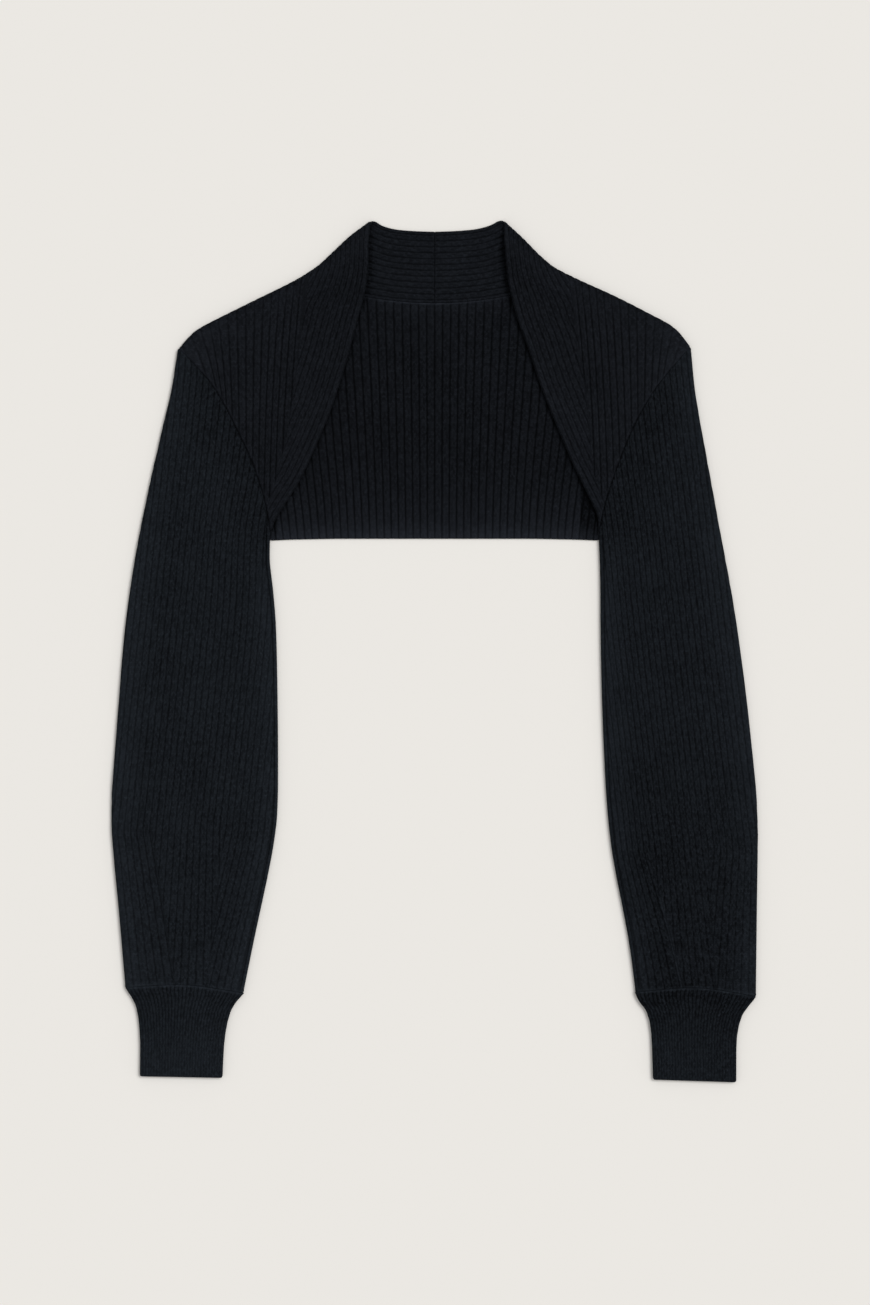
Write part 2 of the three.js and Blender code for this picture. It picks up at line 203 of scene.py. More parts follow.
# Sampling of the outlines that the frame gives.
SAMPLE, SPOT, STRIDE, RUN_ON, HALVINGS = 1.0, 0.5, 3.0, 60, 30
SOFTEN, LESS_SOFT, LEAST_SOFT = 5.0, 3.0, 1.0
WINDOW = 3  # how many times its softening a line is softened over, either way
HEM_REACH = 146
# How far short of an outline's corner its samples stop, the more the rounder the corner.
SHARP, CRISP, KEEN, BLUNT, ROUND, ROUNDEST = 1, 2, 3, 4, 8, 10
BEFORE_NECK, PAST_TIP = 12, 14

# The yarn: noises of a size and a detail, how a stitch is shaped, and what lightens it.
NOISES = {"loose": (9, 2), "fibre": (0.7, 4), "fluff": (2.6, 3), "patch": (45, 2), "cloud": (400, 2)}
# The wool's darkest and palest colours. The mix between them carries random tone, and also painted light and
# shade.
DEEP = (0.0007, 0.0010, 0.0015, 1)
PALE_AND_LIT = (0.0185, 0.0232, 0.0298, 1)
PALE_AND_LIT_BODY = (0.0190, 0.0222, 0.0292, 1)
GROOVE, FLUFF = (0.6, 1.0), (0.5, 0.8)
WALE_WIDTH, V_SLANT, LOOSENESS = 0.84, 0.55, 0.6
YARN_ROUND, LEG_POWER, LEG_FALL = 0.6, 3.0, 0.6
FIBRE_HEIGHT, OWN_HEIGHT = 0.35, 0.4
LIGHT_SHARES = (0.3, 0.16, 0.2, 0.2, 0.3)  # of its own tone, its height (a painted highlight on the yarn's crown), fibre, patch and fluff
DARKER, SHADE_LIGHT = 0.08, 0.32

# The floor, the camera and the way to the lamp, in metres.
FLOOR_HALF, FLOOR_DROP = 6.0, 0.0001
FLOOR_TONES = ((0.798, 0.775, 0.737, 1), (0.802, 0.779, 0.741, 1))
EYE_OUT, EYE_ABOVE = 0.00045, 2.61
LAMP_FROM = (0.72, 0.42, 1.15)


def smooth(start, end, value):
    """0 before start, 1 after end, and a smooth step between."""
    t = np.clip((value - start) / (end - start), 0, 1)
    return t * t * (3 - 2 * t)


def tone(place, distance):
    """A named change of tone or relief, at a distance."""
    amount, start, end = TONES[place]
    return amount * smooth(start, end, distance)


def bell(offset, width):
    return np.exp(-((offset / width) ** 2))


def line(at, values, soften=SOFTEN):
    """A smooth function through close samples, which runs straight on past both ends."""
    tail = int(2 * soften)
    steps = np.arange(1, RUN_ON + 1) * SAMPLE
    before = (values[tail] - values[0]) / (at[tail] - at[0])
    after = (values[-1] - values[-1 - tail]) / (at[-1] - at[-1 - tail])
    places = np.concatenate([at[0] - steps[::-1], at, at[-1] + steps])
    heights = np.concatenate(
        [values[0] - before * steps[::-1], values, values[-1] + after * steps]
    )
    window = np.exp(-0.5 * (np.arange(-WINDOW * soften, WINDOW * soften + 1) / soften) ** 2)
    margin = len(window) // 2
    softened = np.convolve(heights, window / window.sum(), "valid")
    kept = places[margin:-margin]
    first = (softened[1] - softened[0]) / (kept[1] - kept[0])
    last = (softened[-1] - softened[-2]) / (kept[-1] - kept[-2])

    def value(x):
        inside = np.interp(x, kept, softened)
        low = np.minimum(np.subtract(x, kept[0]), 0) * first
        high = np.maximum(np.subtract(x, kept[-1]), 0) * last
        return inside + low + high

    return value


def through(rows):
    """A smooth function through a few chosen points."""
    at = np.arange(rows[0][0], rows[-1][0] + SAMPLE, SAMPLE)
    return line(at, np.interp(at, *zip(*rows)))


def slope(f, x):
    reach_out = 4.0
    return (f(x + reach_out) - f(x - reach_out)) / (2 * reach_out)


def crossing(clear, good, bad):
    """Where clear stops being positive, between a good place and a bad one."""
    for _ in range(HALVINGS):
        middle = (good + bad) / 2
        if clear(middle) > 0:
            good = middle
        else:
            bad = middle
    return good


def climb(clear, start, end):
    """The first place from start to end where clear isn't positive."""
    places = np.arange(start, end, math.copysign(STRIDE, end - start))
    blocked = np.nonzero(clear(places) <= 0)[0]
    if not len(blocked):
        return end
    if blocked[0] == 0:
        return start
    return crossing(clear, places[blocked[0] - 1], places[blocked[0]])


def span(limits, start, bottom, top):
    """How far a rib runs down and up from a start, and the names of what stops it."""

    def clear(y):
        return np.minimum.reduce([limit(y) + 0 * y for limit in limits.values()])

    ends = [climb(clear, start, bottom), climb(clear, start, top)]
    stops = [min(limits, key=lambda name: float(limits[name](y))) for y in ends]
    return ends, stops


def corners_of(node, side):
    """A node's triangles, with the half's side turned to +x."""
    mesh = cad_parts[node].data
    mesh.calc_loop_triangles()
    corners = np.zeros(len(mesh.vertices) * 3, np.float32)
    mesh.vertices.foreach_get("co", corners)
    which = np.zeros(len(mesh.loop_triangles) * 3, np.int32)
    mesh.loop_triangles.foreach_get("vertices", which)
    corners = corners.reshape(-1, 3).astype(float) / MM * (side, 1, 1)
    return corners[which.reshape(-1, 3)]


def reach(node, side, along, between, above=None, soften=SOFTEN):
    """A node's nearest and farthest reach across each line, as two functions."""
    triangles = corners_of(node, side)
    if above is not None:
        triangles = triangles[triangles[:, :, Z].min(axis=1) > above]
    starts = triangles.reshape(-1, 3)
    ends = np.roll(triangles, -1, axis=1).reshape(-1, 3)
    at = np.arange(*between, SAMPLE)
    across = Y if along == X else X
    near = []
    far = []
    for place in at:
        meets = (starts[:, along] <= place) != (ends[:, along] <= place)
        a = starts[meets]
        b = ends[meets]
        share = (place - a[:, along]) / (b[:, along] - a[:, along])
        found = a[:, across] + share * (b[:, across] - a[:, across])
        near.append(found.min())
        far.append(found.max())
    return line(at, np.array(near), soften), line(at, np.array(far), soften)


class Half:
    """One side of the garment: its outlines, and what differs from the other side."""

    def __init__(self, word, side, own):
        self.word = word
        self.side = side
        vars(self).update(own)
        nodes = ("front_" + word, "cuff_" + word, "back")
        front, cuff, _ = nodes
        sleeve = "sleeve_" + word
        front_corners, cuff_corners, back_corners = (corners_of(node, side).reshape(-1, 3) for node in nodes)
        tip = front_corners[front_corners[:, X].argmax()]
        self.tip_out = tip[X]
        self.top_at_tip = tip[Y] - BLUNT
        self.underarm = front_corners[:, Y].min()
        self.neck = front_corners[front_corners[:, Y].argmax()][X]
        upper = MID + PLY / 8  # above every face of the lower ply
        self.edge = reach(front, side, Y, (self.underarm + SHARP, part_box(front)[1][Y] / MM - BLUNT), upper)[0]
        self.armhole = reach(front, side, Y, (self.underarm + SHARP, tip[Y] - ROUND), upper)[1]
        self.fold = reach(front, side, X, (self.neck + SHARP, tip[X] - KEEN), soften=LESS_SOFT)[1]
        self.collar_top = reach(front, side, X, (SHARP, self.neck - SHARP))[1]
        lowest_edge = reach("back", side, X, (0, HEM_REACH))[0]
        self.hem = lambda out: lowest_edge(out) + HEM_RISE
        self.top = reach("back", side, X, (0, back_corners[:, X].max() - CRISP))[1]
        self.inner = reach(sleeve, side, Y, (foot_of(sleeve) + ROUND, self.underarm - CRISP))[0]
        self.outer = reach(sleeve, side, Y, (foot_of(sleeve) + ROUND, tip[Y] - ROUNDEST))[1]

        lowest = foot_of(cuff) + BLUNT
        inner_corner = cuff_corners[cuff_corners[:, X].argmin()]
        outer_corner = cuff_corners[cuff_corners[:, X].argmax()]
        self.cuff_inner = reach(cuff, side, Y, (lowest, inner_corner[Y] - SHARP), soften=LEAST_SOFT)[0]
        self.cuff_outer = reach(cuff, side, Y, (lowest, outer_corner[Y] - SHARP), soften=LEAST_SOFT)[1]
        hem_span = (self.cuff_inner(lowest) + CRISP, self.cuff_outer(lowest) - CRISP)
        seam_span = (inner_corner[X] + CRISP, outer_corner[X] - CRISP)
        self.cuff_hem = reach(cuff, side, X, hem_span)[0]
        self.cuff_seam = reach(cuff, side, X, seam_span, soften=LESS_SOFT)[1]

        self.join, self.lean, self.outer_line, self.inner_line = map(through, own["lines"])

        at = np.arange(self.neck - BEFORE_NECK, tip[X] + PAST_TIP, SAMPLE)
        heights = self.fold(at)
        tangent = np.stack([np.full_like(at, SAMPLE), np.gradient(heights)], axis=1)
        tangent /= np.linalg.norm(tangent, axis=1)[:, None]
        away = np.stack([-tangent[:, 1], tangent[:, 0]], axis=1)
        inset = FOLD_INSET - tone("springy fold", at - self.neck)
        self.bend_line = np.stack([at, heights], axis=1) - away * inset[:, None]

    def beyond(self, out, y):
        """Spots of the unfolded front, the nearest places on the line where the shoulder starts to bend,
        the ways out of it, and how far the spots lie past it."""
        spots = np.column_stack([np.atleast_1d(out), np.atleast_1d(y)])
        starts = self.bend_line[:-1]
        runs = self.bend_line[1:] - starts
        offset = spots[:, None, :] - starts[None]
        share = np.clip((offset * runs).sum(-1) / (runs * runs).sum(-1), 0, 1)
        apart = offset - share[..., None] * runs
        nearest = (apart * apart).sum(-1).argmin(1)
        picked = np.arange(len(spots))
        run = runs[nearest] / np.linalg.norm(runs[nearest], axis=1)[:, None]
        away = np.stack([-run[:, 1], run[:, 0]], axis=1)
        foot = starts[nearest] + share[picked, nearest][:, None] * runs[nearest]
        return spots, foot, away, ((spots - foot) * away).sum(1)

    def past(self, out, y):
        return self.beyond(out, y)[-1]

    def bends(self, out, before, after, behind):
        """Where a rib starts to bend at the shoulder's fold, and where it leaves it."""
        bend = crossing(lambda y: -self.past(out(y), y), before, after)
        return bend, crossing(lambda y: math.pi * BEND - self.past(out(y), y), bend, behind)

    def folded(self, out, y):
        """Places and outward directions of spots of the unfolded front once the shoulder is folded."""
        spots, foot, away, past = self.beyond(out, y)
        angle = np.clip(past / BEND, 0, math.pi)
        straight = np.where(past < 0, past, 0) - np.maximum(past - math.pi * BEND, 0)
        flat = foot + away * (BEND * np.sin(angle) + straight)[:, None]
        upper = past <= 0
        flat[upper] = spots[upper]
        places = np.column_stack([flat, MID + BEND * np.cos(angle)])
        outward = np.column_stack([away * np.sin(angle)[:, None], np.cos(angle)])
        return places, outward, past

    def side_seam(self, y):
        """Where the back's side meets the sleeve, above the underarm and below it."""
        return np.where(y > self.underarm, self.armhole(y), self.inner(y)) - SEAM_GAP / 2

    def armhole_crease(self, cloth):
        """The armhole's seam on the upper ply, sunk, with painted shade along it."""
        y = np.arange(self.underarm, self.top_at_tip, LINE_STEP)
        seam = np.column_stack([self.armhole(y), y, HEIGHT - PLY / 2 + 0 * y])
        dark = self.armhole_dark - self.armhole_fade * tone("armhole fade", y)
        cloth.crease(seam, *ARMHOLE_CREASE, -dark)

    def hollow(self, out, y):
        """How deep a spot beside the free edge lies in the edge's painted shade, from 0 to 1."""
        width = HOLLOW_WIDTH + tone("hollow by neck", y)
        return 1 - smooth(HOLLOW_CORE * width, width, self.edge(y) - out)


def foot_of(node):
    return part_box(node)[0][Y] / MM


# What differs between left and right. The lines are the front's join, the shoulder's lean, and the
# sleeve's outer and inner line, in rows of (y, out), and (out, lean) for the lean. A pitch is the first
# rib's width and how much each outgrows the one before. Spreads are shares per millimetre down the sleeve.
DIFFERENCES = {
    "lines": (
        (
            ((120, 157), (138, 147), (193, 133), (247, 125), (298, 118.5), (320, 115.2), (350, 113)),
            (
                *((105, -0.125), (131, -0.12), (152, -0.055), (168, 0), (184, 0.05)),
                *((194, 0.11), (205, 0.24), (217, 0.43), (240, 0.6)),
            ),
            ((-330, 228.5), (-298, 233.5), (-163, 254.6), (-130, 260)),
            ((-330, 208.6), (-289, 204), (-180, 191.5), (-130, 186)),
        ),
        (
            ((120, 160), (138, 151), (160, 143), (199, 139), (243, 135), (302, 126), (350, 119)),
            (
                *((105, -0.15), (136, -0.123), (155, -0.1), (170, -0.062), (186, 0)),
                *((203, 0.08), (212, 0.2), (225, 0.4), (240, 0.6)),
            ),
            ((-330, 255), (-299, 253), (-186, 246), (-140, 243)),
            ((-330, 233), (-299, 224), (-184, 194), (-140, 183)),
        ),
    ),
    "shoulder_pitch": ((5.6, 0.18), (5.5, 0.15)),
    "edge_pitch": ((4.7, 0.05), (5.0, 0.06)),
    "sleeve_pitch": (5.72, 5.75),
    "sleeve_lean": (0.105, 0.12),
    "centre_lean": (0.05, 0.1),
    "turn": (-160, -178),
    "inner_close": (0.0, 0.14),
    "gather": (5.0, 1.5),
    "spread_outer": (0.0018, 0.0018),
    "spread_centre": (0.0015, 0.0015),
    "spread_inner": (0.001, 0.0033),
    "tip_spring": (1.0, 0.8),
    "puckers": ((-16, -72, -93), (-40, -118)),
    # From collar_dark to fade: painted shade beside the free edges, by the back's side seam (its width) and
    # along the armhole, and painted light and shade that differs from side to side and fades down the sleeves
    # and cuffs.
    "collar_dark": (0.7, 0.4),
    "edge_dark": (0.75, 0.4),
    "side_dark": (6, 16),
    "armhole_dark": (0.85, 0.9),
    "armhole_fade": (0.0, 0.55),
    "light": (-0.06, -0.14),
    "cuff_light": (-0.03, -0.34),
    "fade": (0.0, 0.28),
    "worn": (0.1, 0.45),
}
LEFT, RIGHT = HALVES = [
    Half(word, side, {name: both[side > 0] for name, both in DIFFERENCES.items()})
    for word, side in (("left", -1), ("right", 1))
]


class Cloth:
    """The middle of a piece of knitting: chains of stitches, and the triangles between them."""

    def __init__(self, side=1):
        self.side = side
        self.chains = []
        self.triangles = []
        self.creases = []
        self.count = 0

    def chain(self, places, outward, rib, courses, keys, lips, shade, relief=1.0, along=0.0):
        """Adds stitches and returns them as (key, number) pairs, with keys rising. The lips are how far
        a seam's lip stands up at the two ends, 0 for no seam, and `along` is the same all along."""
        number = len(places)
        lip = np.full(number, float(along))
        lip[0] = max(lip[0], lips[0])
        lip[-1] = max(lip[-1], lips[1])
        turned = [vectors * (self.side, 1, 1) for vectors in (places, outward)]
        amounts = [np.zeros(number) + amount for amount in (rib, courses, lip, shade, relief)]
        self.chains.append([*turned, *amounts])
        first = self.count
        self.count += number
        return [(key, first + i) for i, key in enumerate(keys)]

    def crease(self, places, rise, width, shade):
        """Marks a line where the cloth stands up or sinks, painted darker (painted shade) or lighter (painted
        highlight) along it by the given amount.
        """
        self.creases.append((places * (self.side, 1, 1), rise, width, shade))

    def join(self, one, other):
        """Fills the strip between two runs of stitches."""
        i = j = 0
        while i < len(one) - 1 or j < len(other) - 1:
            takes_one = j == len(other) - 1 or (i < len(one) - 1 and one[i + 1][0] <= other[j + 1][0])
            tip = one[i + 1] if takes_one else other[j + 1]
            self.triangles.append((one[i][1], other[j][1], tip[1]))
            i += takes_one
            j += not takes_one

    def join_all(self, chains):
        for one, other in zip(chains, chains[1:]):
            self.join(one, other)


def rows(low, high, step=ROW):
    """Stitch rows on a grid that neighbours share, and closer by the two ends."""
    inset = CLOSE[-1] + GRID_CLEAR * step
    if high - low < 2 * inset + step:
        return np.linspace(low, high, max(2, math.ceil((high - low) / SHORT_ROW) + 1))
    grid = np.arange(math.ceil((low + inset) / step), math.floor((high - inset) / step) + 1)
    near = [low, *(low + c for c in CLOSE)]
    far = [*(high - c for c in reversed(CLOSE)), high]
    return np.concatenate([near, grid * step, far])


def columns(low, high, shares):
    """Rib numbers of the chains from one rib to another."""
    numbers = [rib + share for rib in range(math.floor(low), math.ceil(high)) for share in shares]
    return [number for number in numbers if low <= number < high]


def stairs(chains, stops, name, last):
    """The edge that a group turns to a line: its first chain and the ends of those behind it, with keys
    rising. `last` tells which end of a chain is on the line."""
    ends = []
    for chain, stop in zip(chains[1:], stops[1:]):
        ends.append(chain[-1 if last else 0])
        if stop != name:
            break
    if stops[0] != name:
        ends = []
    return [*chains[0], *ends] if last else [*reversed(ends), *chains[0]]


def crest(rib):
    """How full a rib stands, from 0 in its groove to 1."""
    across = np.abs(2 * np.mod(rib, 1) - 1)
    return (1 - across ** CREST_FLATNESS) ** CREST_ROUNDNESS


def wander(x, y):
    """A gentle wave over the cloth, within about 1 either way."""
    total = 0
    for turn in range(WAVES):
        angle = FIRST_WAY + turn * NEXT_WAY
        pace = 2 * math.pi / (LIP_WAVE * (1 + WAVE_GROWTH * turn))
        across = x * math.cos(angle) + y * math.sin(angle)
        total = total + np.sin(pace * across + FIRST_SHIFT + turn * NEXT_SHIFT)
    return total / WAVES_HIGH


def tree_of(spots):
    tree = KDTree(len(spots))
    for i, spot in enumerate(spots):
        tree.insert(spot, i)
    tree.balance()
    return tree


def nearest(places, starts, ends, values):
    """How far each place is from the nearest of some short runs, and the value there."""
    pieces = np.maximum(1, np.ceil(np.linalg.norm(ends - starts, axis=1) / SPOT)).astype(int)
    shares = np.concatenate([np.linspace(0, 1, n + 1) for n in pieces])
    which = np.repeat(np.arange(len(pieces)), pieces + 1)
    spots = starts[which] + (ends - starts)[which] * shares[:, None]
    tree = tree_of(spots)
    found = [tree.find(place) for place in places]
    return np.array([f[2] for f in found]), values[which[[f[1] for f in found]]]


def added(name, data):
    """A new object in the scene."""
    made = bpy.data.objects.new(name, data)
    bpy.context.scene.collection.objects.link(made)
    return made


def shell(name, cloth, kind):
    """Turns a cloth's middle into one closed thin shell, with ribs on both faces."""
    places, outward, ribs, courses, lips, shade, relief = map(np.concatenate, zip(*cloth.chains))
    triangles = np.array(cloth.triangles)
    count = len(places)
    a, b, c = (places[triangles[:, i]] for i in range(3))
    facing = (np.cross(b - a, c - a) * outward[triangles].sum(axis=1)).sum(axis=1)
    triangles[facing < 0] = triangles[facing < 0][:, ::-1]

    edges = np.concatenate([triangles[:, [0, 1]], triangles[:, [1, 2]], triangles[:, [2, 0]]])
    codes = edges[:, 0] * count + edges[:, 1]
    rim = edges[~np.isin(codes, edges[:, 1] * count + edges[:, 0])]
    start, end = rim[:, 0], rim[:, 1]
    away = np.zeros_like(places)
    sideways = np.cross(places[end] - places[start], outward[start])
    np.add.at(away, start, sideways)
    np.add.at(away, end, sideways)
    on_rim = np.unique(rim)
    away[on_rim] /= np.maximum(np.linalg.norm(away[on_rim], axis=1), TINY)[:, None]

    rim_gap = nearest(places, places[start], places[end], lips[start])[0]
    seamed = (lips[start] > 0) & (lips[end] > 0)
    heights = np.maximum(lips[start], lips[end])[seamed]
    gap, lip = nearest(places, places[start][seamed], places[end][seamed], heights)
    relief = relief * smooth(0, NEAR_SEAM, gap)
    uneven = 1 + LIP_UNEVEN * wander(places[:, X], places[:, Y])
    rise = lip * uneven * bell(np.maximum(gap - LIP_TOP, 0), LIP_SIDE)
    # Raised lips get a painted highlight, in step with how far they stand up.
    shade = shade + LIP_LIGHT * rise
    # Creases sink the cloth and paint shade along it.
    for line_places, height, width, tint in cloth.creases:
        tints = np.zeros(len(line_places)) + tint
        off, tint_here = nearest(places, line_places[:-1], line_places[1:], tints[1:])
        rise = rise + height * bell(off, width)
        shade = shade + tint_here * bell(off, width)
    ease = RIM_ROUND * PLY * (1 - smooth(0, RIM_RUN, rim_gap))
    outer = PLY / 2 - DEPTHS[kind] * (1 - crest(ribs)) * relief + rise - ease
    inner = PLY / 2 - DEPTHS[kind] * (1 - crest(ribs + OTHER_FACE)) * relief - ease

    push = np.where(lips > 0, SEAM_GAP / 2, RIM_BULGE)[on_rim]
    middles = places[on_rim] + away[on_rim] * push[:, None]
    number = np.full(count, -1)
    number[on_rim] = np.arange(len(on_rim)) + 2 * count
    vertices = np.concatenate([places + outward * outer[:, None], places - outward * inner[:, None], middles])
    vertices[:, Z] = np.maximum(vertices[:, Z], OFF_FLOOR)
    under_start, under_end = start + count, end + count
    one, next_one = number[start], number[end]
    corners = [(end, start, one), (end, one, next_one)]
    corners += [(next_one, one, under_start), (next_one, under_start, under_end)]
    sides = [np.stack(three, axis=1) for three in corners]
    faces = np.concatenate([triangles, triangles[:, ::-1] + count, *sides])

    def all_over(values, apart=0.0):
        """Values for both faces and for the rim between them."""
        return np.concatenate([values, values + apart, values[on_rim] + apart / 2]).astype(np.float32)

    mesh = bpy.data.meshes.new(name)
    mesh.from_pydata((vertices * MM).tolist(), [], faces.tolist())
    knit = mesh.uv_layers.new(name="knit")
    places_in_knit = np.column_stack([all_over(ribs, OTHER_FACE), all_over(courses)])
    knit.data.foreach_set("uv", places_in_knit[faces.ravel()].ravel())
    for word, amounts in {"shade": shade, "relief": relief}.items():
        layer = mesh.attributes.new(word, "FLOAT", "POINT")
        layer.data.foreach_set("value", all_over(amounts))
    mesh.polygons.foreach_set("use_smooth", np.ones(len(faces), bool))
    mesh.update()
    mesh.materials.append(FINISHES[kind])
    piece = added(name, mesh)
    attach(piece, "root")
    return piece


def back_half(cloth, half, nearest_foot):
    """The back's chains on one side, from the centre line out."""
    chains = []
    cornered = False
    strip = half.side_seam(half.underarm) - half.side_dark
    for rib in columns(0, math.ceil(half.tip_out / BACK_PITCH), WIDE_COLUMNS):
        foot = rib * BACK_PITCH
        if foot < nearest_foot:
            continue
        lean = BACK_FAN * foot + SIDE_FAN * (foot / SIDE_FAN_SPAN) ** SIDE_FAN_POWER

        def out(y):
            rise = y - half.hem(foot)
            straightened = FAN_START * FAN_SPAN * (1 - np.exp(-rise / FAN_SPAN))
            return foot + lean * (rise - straightened)

        def inside(y):
            return np.minimum(y - half.hem(out(y)), half.side_seam(y) - out(y))

        high = crossing(lambda y: half.top(out(y)) - y, BELOW_HEM, ABOVE_BACK)
        low = climb(inside, high - JUST_INSIDE, BELOW_HEM)
        if high - low < SHORTEST:
            continue
        at_hem = low - half.hem(out(low)) < ON_HEM
        y = rows(low, high)
        x = out(y)
        if not at_hem and not cornered:
            cornered = True
            corner_y = half.hem(half.side_seam(half.underarm))
            below = np.arange(corner_y, low - SIDE_STEP, SIDE_STEP)
            y = np.concatenate([below, y])
            x = np.concatenate([half.side_seam(below), x])
        places = np.column_stack([half.side * x, y, PLY / 2 + 0 * y])
        outward = np.tile((0, 0, 1), (len(y), 1))
        # The back's tone is painted light and shade: light by the hem and below the neck's ridge, shade along
        # its middle (less at the top), in the strip by the side seam and beside the fronts' free edges.
        above_hem = y - half.hem(np.minimum(x, strip))
        painted_hem_light = HEM_PAINTED_LIGHT * np.clip(1 - above_hem / HEM_PAINTED_LIGHT_RUN, 0, 1) ** 2
        light = tone("towards hem", above_hem) + painted_hem_light + tone("back top", y)
        light = light + tone("below neck", high - y) * (x < half.neck)
        dark = tone("strip side", x - strip) * tone("strip top", y) + tone("above hem", above_hem)
        shade = light - dark - half.edge_dark * half.hollow(x, y)
        relief = BACK_RELIEF + tone("back ribs", above_hem)
        ridge = NECK_RIDGE * (RIDGE_ENDS + RIDGE_MIDDLE * bell(foot, RIDGE_SPAN))
        top_lip = ridge if out(high) < half.neck + RIDGE_PAST_NECK else FLAT_LIP
        lips = (0 if at_hem else FLAT_LIP, top_lip)
        chains.append(cloth.chain(places, outward, half.side * rib, y, y, lips, shade, relief))
    return chains


def back_panel():
    """The back, whose inside shows between the fronts. Its ribs fan out upwards."""
    cloth = Cloth()
    right = back_half(cloth, RIGHT, 0)
    off_centre = BACK_PITCH * WIDE_COLUMNS[1] / 2  # the right half has the chain on the centre line
    left = back_half(cloth, LEFT, off_centre)
    cloth.join_all([*reversed(left), *right])
    piece = shell("back_panel", cloth, "back")
    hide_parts("back")


def lifted(half, places, past):
    """How far the front's free edge stands up off the back."""
    from_edge = places[:, X] - half.edge(places[:, Y])
    by_neck = tone("beside neck", places[:, Y])
    near = np.clip(1 - from_edge / (LIFT_RUN + NECK_LIFT_RUN * by_neck), 0, 1) ** 2
    from_tip = smooth(half.underarm, half.underarm + TIP_RUN, places[:, Y])
    return (EDGE_LIFT + NECK_LIFT * by_neck) * near * from_tip * tone("before fold", past)


def edge_chains(cloth, half):
    """Ribs along the free edge, over the shoulder's fold and round the neck."""
    centre_top = half.collar_top(0) + COLLAR_SPRING
    centre_seam = half.top(0) + SEAM_GAP
    first_pitch, growth = half.edge_pitch
    whole = COLLAR_RIBS * (first_pitch + growth * COLLAR_RIBS)
    chains = []
    stops = []
    for rib in [*columns(0, COLLAR_RIBS, WIDE_COLUMNS), COLLAR_RIBS]:

        def out(y):
            lean = np.sqrt(1 + slope(half.edge, y) ** 2 * tone("edge leans", y))
            filling = (half.join(y) - NEAR_LINE - half.edge(y)) / (whole * lean)
            spread = filling + np.maximum(1 - filling, 0) * tone("full pitch", y)
            return half.edge(y) + rib * (first_pitch + growth * rib) * spread * lean

        limits = {
            "join": lambda y: half.join(y) - out(y) - NEAR_LINE / 2,
            "armhole": lambda y: half.armhole(y) - out(y) - SEAM_GAP / 2,
        }
        bend, leave = half.bends(out, ON_CHEST, ABOVE_NECK, OVER_FOLD)
        (low, _), (stop, _) = span(limits, bend - 1, BELOW_HEM, bend)
        y = np.concatenate([rows(low, bend), np.linspace(bend, leave, TURN_STEPS)[1:]])
        places, outward, past = half.folded(out(y), y)
        places[:, Z] += lifted(half, places, past)
        exit_out, exit_y, _ = places[-1]

        behind = rows(SEAM_GAP / 2, exit_out - SHORT_ROW)[::-1]
        at_centre = (centre_top - centre_seam) * (1 - rib / COLLAR_RIBS)
        at_exit = exit_y - half.top(exit_out) - SEAM_GAP
        outwards = np.clip((behind / half.neck - RISE_FROM) / RISE_RUN, 0, RISE_MOST)
        taller = at_centre * (1 + COLLAR_RISE * outwards ** RISE_POWER)
        to_exit = smooth(NECK_TURN * exit_out, exit_out, behind)
        neck_y = half.top(behind) + SEAM_GAP + taller + (at_exit - taller) * to_exit
        collar = np.column_stack([behind, neck_y, MID - BEND + 0 * behind])
        inside_out = np.tile((0, 0, -1), (len(behind), 1))
        # Painted light on the edge's first rib; painted shade by the fold, high on the front, and in the hollow
        # beside the edge on the collar.
        edge_light = (EDGE_LIGHT + tone("edge", y)) * (rib < EDGE_RIB)
        dark = tone("collar fold", past) + tone("high on front", y) * tone("off fold", past)
        in_hollow = half.collar_dark * half.hollow(behind, neck_y)
        by_centre = CENTRE_DARK * bell(behind, CENTRE_DARK_RUN)
        shade = np.concatenate([edge_light - dark, -in_hollow - by_centre])
        front_relief = EDGE_RELIEF - tone("collar ribs", past)
        relief = np.concatenate([front_relief, COLLAR_RELIEF + 0 * behind])
        chains.append(
            cloth.chain(
                np.concatenate([places, collar]),
                np.concatenate([outward, inside_out]),
                rib,
                np.concatenate([y, y[-1] + exit_out - behind]),
                np.concatenate([y, KEY_END - behind]),
                (LIP, CENTRE_LIP),
                shade,
                relief,
                FLAT_LIP if rib >= COLLAR_RIBS else 0,
            )
        )
        stops.append(stop)
    cloth.join_all(chains)
    return chains, stops


